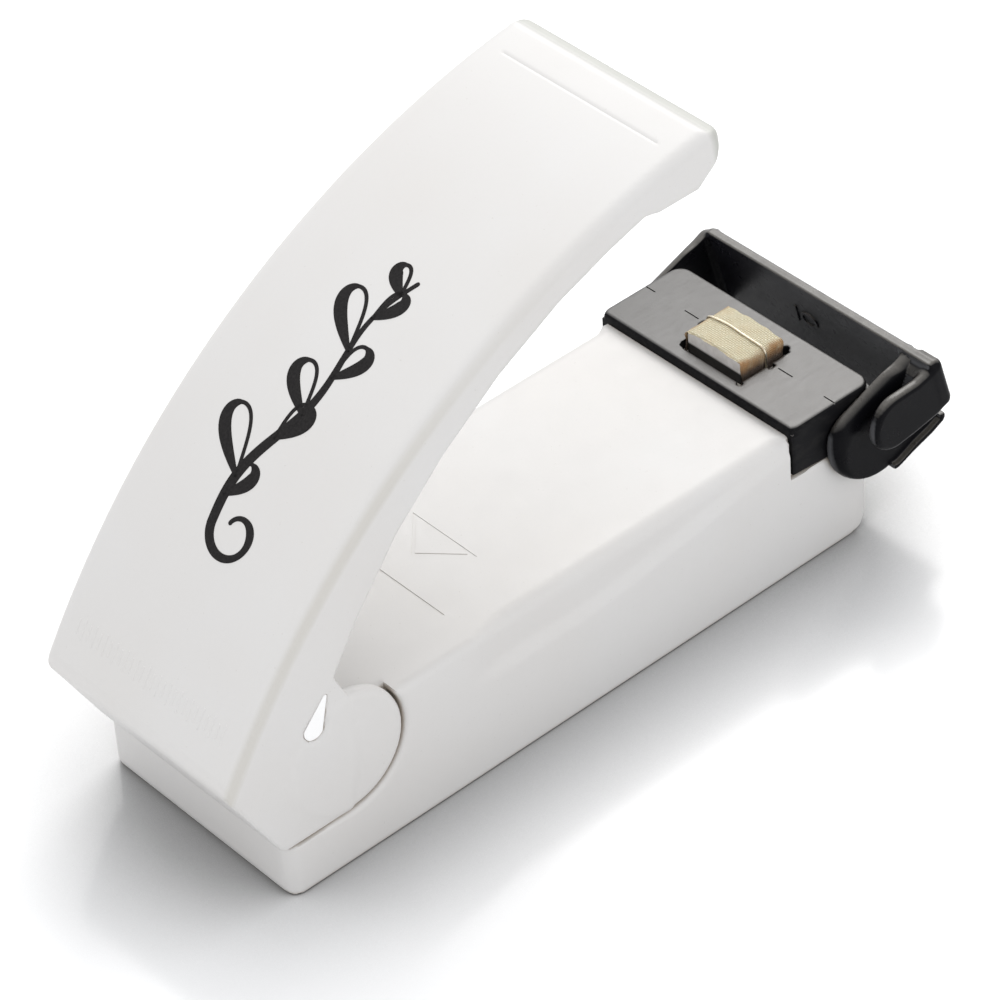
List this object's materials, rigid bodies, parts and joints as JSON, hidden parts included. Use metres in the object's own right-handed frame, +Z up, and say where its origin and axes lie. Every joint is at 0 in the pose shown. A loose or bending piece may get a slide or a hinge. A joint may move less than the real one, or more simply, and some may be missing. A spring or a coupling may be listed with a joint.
{
  "type": "handheld bag heat sealer",
  "caption": "Battery hand sealer for plastic bags: white base with a sprung heater block in a black head plate, arched hinged press lever and a black swing-over latch bail.",
  "frame": {"origin": "middle of the flat underside of the base", "axes": "+X from the hinge towards the heater head, +Y to the left, +Z up; lever drawn open, which is its sprung rest position"},
  "size_m": [0.1265, 0.0468, 0.0822],
  "materials": {
    "white_abs": "smooth satin-gloss moulded, faint flow marks",
    "black_plastic": "fine-textured satin, scuffed on the top face",
    "black_satin": "smooth satin moulded",
    "silicone_red": "matte moulded silicone",
    "steel": "bright turned",
    "spring_steel": "drawn wire",
    "heat_resistant_resin": "moulded",
    "white_ceramic_filled": "fine matte",
    "glass_cloth": "coated plain weave, browned at the folded ends",
    "resistance_wire": "drawn, slightly heat-tinted",
    "brass": "stamped",
    "cell_jacket": "plain printed sleeve with a band, no lettering",
    "nickel_plate": "plated strip",
    "red_insulation": "PVC",
    "black_insulation": "PVC"
  },
  "bodies": {
    "base": {"base_housing": "white_abs", "base_bottom_cover": "white_abs", "head_plate": "black_plastic", "heater_springs": "spring_steel", "switch_fixed_contact": "brass", "battery_cell_left": "cell_jacket", "battery_cell_right": "cell_jacket", "battery_bridge_contact": "nickel_plate", "battery_positive_contact": "nickel_plate", "battery_negative_contact": "nickel_plate", "lead_wire_positive": "red_insulation", "lead_wire_negative": "black_insulation", "case_screws": "steel"},
    "lever": {"press_lever": "white_abs", "pressure_pad": "silicone_red", "hinge_pin": "steel", "lever_return_spring": "spring_steel"},
    "latch": {"latch_bail": "black_satin"},
    "heater": {"heater_carrier": "heat_resistant_resin", "heater_block": "white_ceramic_filled", "ptfe_cover": "glass_cloth", "heating_wire": "resistance_wire", "wire_terminals": "brass", "switch_moving_contact": "brass"},
    "battery_door": {"battery_door": "white_abs"}
  },
  "joints": [
    {"name": "lever_hinge", "type": "hinge", "parent": "base", "child": "lever", "pos_m": [-0.0405, 0, 0.0185], "axis": [0, 1, 0], "range_deg": [0, 35], "stiffness_Nm_per_rad": 0.02},
    {"name": "latch_pivot", "type": "hinge", "parent": "base", "child": "latch", "pos_m": [0.052, 0, 0.018], "axis": [0, -1, 0], "range_deg": [0, 44]},
    {"name": "heater_press", "type": "slide", "parent": "base", "child": "heater", "axis": [0, 0, -1], "range_m": [0, 0.0014], "stiffness_N_per_m": 900, "deforming": ["heater_springs"]},
    {"name": "battery_door_hinge", "type": "hinge", "parent": "base", "child": "battery_door", "pos_m": [-0.0282, 0, 0.0009], "axis": [0, 1, 0], "range_deg": [0, 90]}
  ]
}
